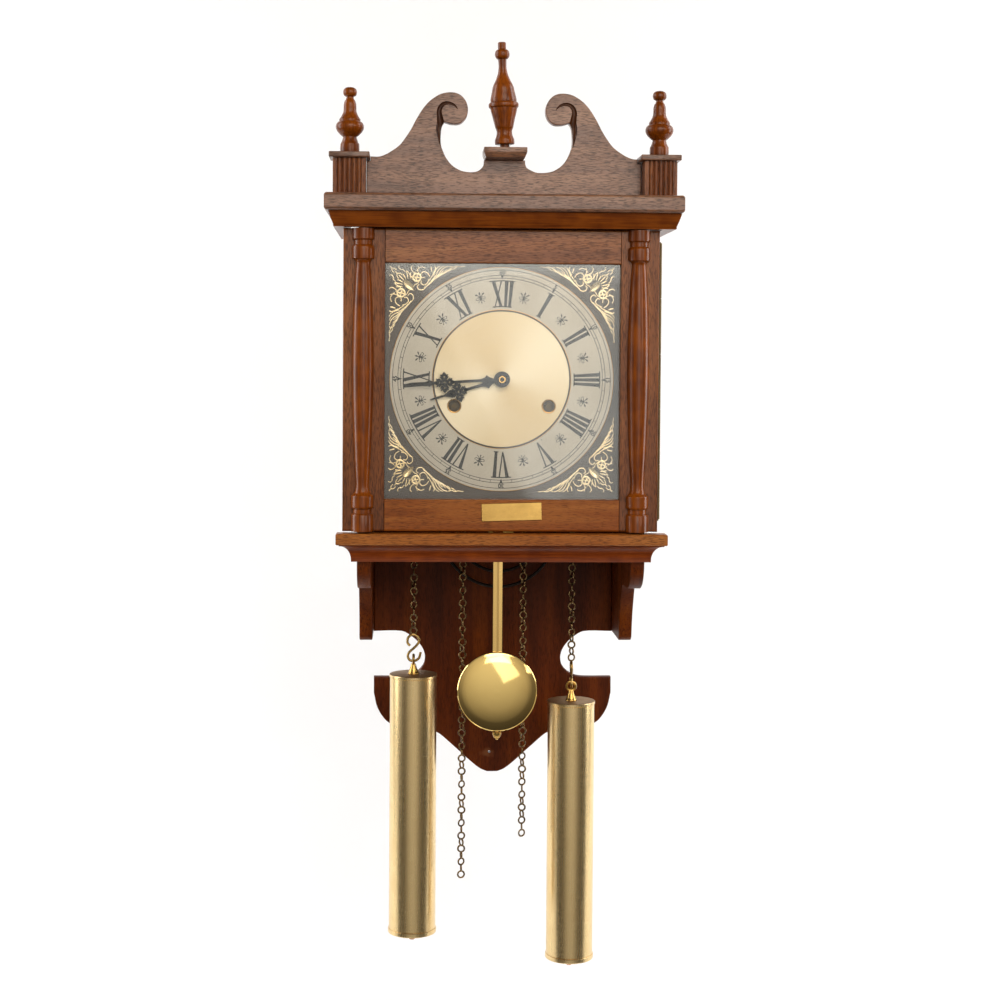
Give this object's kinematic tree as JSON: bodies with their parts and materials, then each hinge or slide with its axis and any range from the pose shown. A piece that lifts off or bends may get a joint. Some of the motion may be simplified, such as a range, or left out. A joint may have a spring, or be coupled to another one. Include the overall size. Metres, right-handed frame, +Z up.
{
  "type": "wall clock",
  "caption": "Wall clock in a carved wooden case with scrolled pediment, turned finials, glazed square dial door, disc pendulum and two cylindrical weights on chains.",
  "frame": {"origin": "on the back face of the back board, on its centre line just below the hanger plate, where the clock lies against the wall", "axes": "+X to the viewer's right, +Y into the wall, +Z up; the dial faces -Y"},
  "size_m": [0.318, 0.192, 0.8627],
  "materials": {
    "walnut": "satin lacquer",
    "walnut_dark": "satin lacquer, stained dark",
    "turned_wood": "gloss lacquer",
    "brass": "brushed",
    "polished_brass": "polished",
    "aged_brass": "antiqued",
    "black_steel": "black",
    "steel": "zinc plated",
    "dial_black": "matt",
    "dial_silver": "satin",
    "dial_gold": "spun",
    "glass": "clear"
  },
  "bodies": {
    "case": {"back_board": "walnut_dark", "side_panel_left": "walnut", "side_panel_right": "walnut", "cornice_board": "walnut", "cornice_moulding": "turned_wood", "base_moulding": "turned_wood", "pediment_board": "walnut", "pedestal_left": "walnut", "pedestal_right": "walnut", "pedestal_cap_left": "walnut", "pedestal_cap_right": "walnut", "plinth_plate": "walnut", "finial_center": "turned_wood", "finial_left": "turned_wood", "finial_right": "turned_wood", "hinge_leaf_case": "brass", "hanger_plate": "steel", "dial_plate": "dial_black", "chapter_ring": "dial_silver", "dial_center_disc": "dial_gold", "movement_front_plate": "brass", "movement_back_plate": "brass", "seat_board": "walnut_dark", "gong_block": "brass", "gong_coil": "black_steel", "hammer_bracket": "brass", "pulley_bridge": "steel"},
    "door": {"door_stile_left": "walnut", "door_stile_right": "walnut", "door_rail_top": "walnut", "door_rail_bottom": "walnut", "door_glass": "glass", "half_column_left": "turned_wood", "half_column_right": "turned_wood", "name_plate": "polished_brass", "hinge_leaf_door": "brass"},
    "minute_works": {"minute_arbor": "brass", "minute_hand": "black_steel"},
    "hour_works": {"hour_pipe": "brass", "hour_hand": "black_steel"},
    "barrel_left": {"winding_barrel_left": "brass"},
    "barrel_right": {"winding_barrel_right": "brass"},
    "pendulum": {"pendulum_rod": "polished_brass", "pendulum_bob": "polished_brass", "rating_nut": "brass"},
    "hammer": {"strike_hammer": "brass"},
    "wheel_left": {"pulley_left": "brass"},
    "weight_left": {"weight_chain_left": "aged_brass", "weight_hook_left": "aged_brass", "weight_cap_left": "brass", "weight_shell_left": "brass", "weight_base_left": "brass"},
    "tail_left": {"free_chain_left": "aged_brass"},
    "wheel_right": {"pulley_right": "brass"},
    "weight_right": {"weight_chain_right": "aged_brass", "weight_hook_right": "aged_brass", "weight_cap_right": "brass", "weight_shell_right": "brass", "weight_base_right": "brass"},
    "tail_right": {"free_chain_right": "aged_brass"}
  },
  "joints": [
    {"name": "door_hinge", "type": "hinge", "parent": "case", "child": "door", "pos_m": [0.1422, -0.1512, -0.115], "axis": [0, 0, 1], "range_deg": [0, 110]},
    {"name": "minute_turn", "type": "hinge", "parent": "case", "child": "minute_works", "pos_m": [0, -0.14, -0.1139], "axis": [0, 1, 0], "continuous": true},
    {"name": "hour_turn", "type": "hinge", "parent": "case", "child": "hour_works", "pos_m": [0, -0.14, -0.1139], "axis": [0, 1, 0], "continuous": true},
    {"name": "left_winding_turn", "type": "hinge", "parent": "case", "child": "barrel_left", "pos_m": [-0.0428, -0.125, -0.1381], "axis": [0, 1, 0], "continuous": true},
    {"name": "right_winding_turn", "type": "hinge", "parent": "case", "child": "barrel_right", "pos_m": [0.0428, -0.125, -0.1381], "axis": [0, 1, 0], "continuous": true},
    {"name": "pendulum_swing", "type": "hinge", "parent": "case", "child": "pendulum", "pos_m": [0, -0.104, -0.1], "axis": [0, 1, 0], "range_deg": [-3, 3]},
    {"name": "hammer_strike", "type": "hinge", "parent": "case", "child": "hammer", "pos_m": [0.014, -0.04, -0.152], "axis": [1, 0, 0], "range_deg": [0, 5]},
    {"name": "left_weight_travel", "type": "slide", "parent": "case", "child": "weight_left", "axis": [0, 0, 1], "range_m": [-0.06, 0.04]},
    {"name": "left_tail_travel", "type": "slide", "parent": "case", "child": "tail_left", "axis": [0, 0, 1], "range_m": [-0.04, 0.06]},
    {"name": "left_pulley_turn", "type": "hinge", "parent": "case", "child": "wheel_left", "pos_m": [-0.055, -0.072, -0.215], "axis": [0, 1, 0], "range_deg": [-148.2, 98.8]},
    {"name": "right_weight_travel", "type": "slide", "parent": "case", "child": "weight_right", "axis": [0, 0, 1], "range_m": [-0.06, 0.04]},
    {"name": "right_tail_travel", "type": "slide", "parent": "case", "child": "tail_right", "axis": [0, 0, 1], "range_m": [-0.04, 0.06]},
    {"name": "right_pulley_turn", "type": "hinge", "parent": "case", "child": "wheel_right", "pos_m": [0.049, -0.072, -0.215], "axis": [0, 1, 0], "range_deg": [-98.8, 148.2]}
  ],
  "couplings": [
    {"joint": "hour_turn", "follows": "minute_turn", "ratio": 0.083333},
    {"joint": "left_tail_travel", "follows": "left_weight_travel", "ratio": -1},
    {"joint": "left_pulley_turn", "follows": "left_weight_travel", "rad_per_m": 43.103},
    {"joint": "right_tail_travel", "follows": "right_weight_travel", "ratio": -1},
    {"joint": "right_pulley_turn", "follows": "right_weight_travel", "rad_per_m": -43.103}
  ]
}
